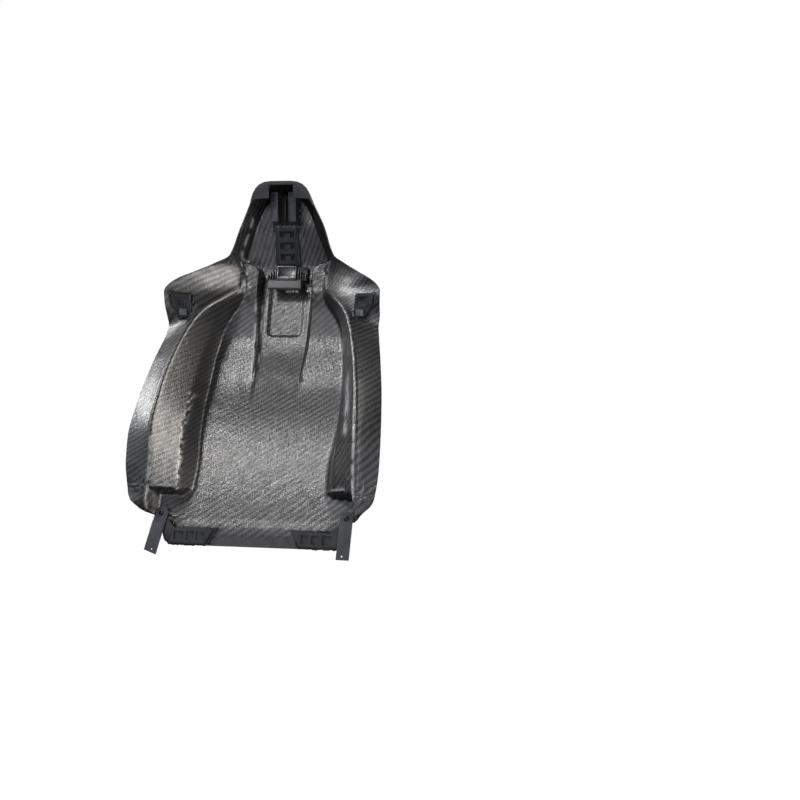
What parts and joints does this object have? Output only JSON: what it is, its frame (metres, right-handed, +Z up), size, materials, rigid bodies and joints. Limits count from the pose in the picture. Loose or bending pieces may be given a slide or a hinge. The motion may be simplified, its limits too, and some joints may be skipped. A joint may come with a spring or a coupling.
{
  "type": "sports seat back shell",
  "caption": "Carbon-fibre back shell of a sports seat with an integral head section, guide rails, ladder clip strip, hinged latch tab, shoulder brackets and riveted hanging straps.",
  "frame": {"origin": "centre of the bounding box at its lowest level: midway between the sides, midway in depth, at the tip of the lower-hanging strap", "axes": "+Z up the back, -Y towards the sitter (out of the hollow inner side), +Y rearwards, +X towards the sitter's left"},
  "size_m": [0.5356, 0.2064, 0.8606],
  "materials": {
    "carbon_laminate": "clear-coated 2x2 twill carbon fibre laminate, glossy outside, rougher resin finish inside",
    "dark_plastic": "satin moulded dark blue-grey plastic",
    "grey_plastic": "satin moulded mid grey plastic",
    "clip_plastic": "satin grey plastic clip",
    "slate_plastic": "satin slate grey flexible plastic strip",
    "adhesive": "black shiny bead of structural adhesive",
    "steel": "zinc-plated steel"
  },
  "bodies": {
    "shell_assembly": {"carbon_shell": "carbon_laminate", "head_cap": "dark_plastic", "guide_channel": "dark_plastic", "guide_rail_left": "dark_plastic", "guide_rail_right": "dark_plastic", "guide_adhesive": "adhesive", "ladder_spine": "dark_plastic", "spine_bracket": "dark_plastic", "spine_adhesive": "adhesive", "latch_pin": "steel", "latch_spring": "steel", "shoulder_bracket_left": "dark_plastic", "shoulder_adhesive_left": "adhesive", "shoulder_clip_left": "clip_plastic", "lower_bracket_left": "dark_plastic", "lower_adhesive_left": "adhesive", "strap_washer_left": "steel", "strap_rivet_left": "steel", "shoulder_bracket_right": "dark_plastic", "shoulder_adhesive_right": "adhesive", "shoulder_clip_right": "clip_plastic", "lower_bracket_right": "dark_plastic", "lower_adhesive_right": "adhesive", "strap_washer_right": "steel", "strap_rivet_right": "steel"},
    "latch_tab": {"latch_tab": "grey_plastic"},
    "strap_left": {"strap_left": "slate_plastic"},
    "strap_right": {"strap_right": "slate_plastic"}
  },
  "joints": [
    {"name": "strap_left_swivel", "type": "hinge", "parent": "shell_assembly", "child": "strap_left", "pos_m": [-0.198, -0.038, 0.08697], "axis": [0, 1, 0], "range_deg": [-16.5, 7]},
    {"name": "strap_right_swivel", "type": "hinge", "parent": "shell_assembly", "child": "strap_right", "pos_m": [0.198, -0.038, 0.08697], "axis": [0, 1, 0], "range_deg": [-21.5, 2]},
    {"name": "latch_tab_hinge", "type": "hinge", "parent": "shell_assembly", "child": "latch_tab", "pos_m": [0, 0.08001, 0.65247], "axis": [-1, 0, 0], "range_deg": [0, 10], "stiffness_Nm_per_rad": 0.05, "springref_deg": -11.46}
  ]
}
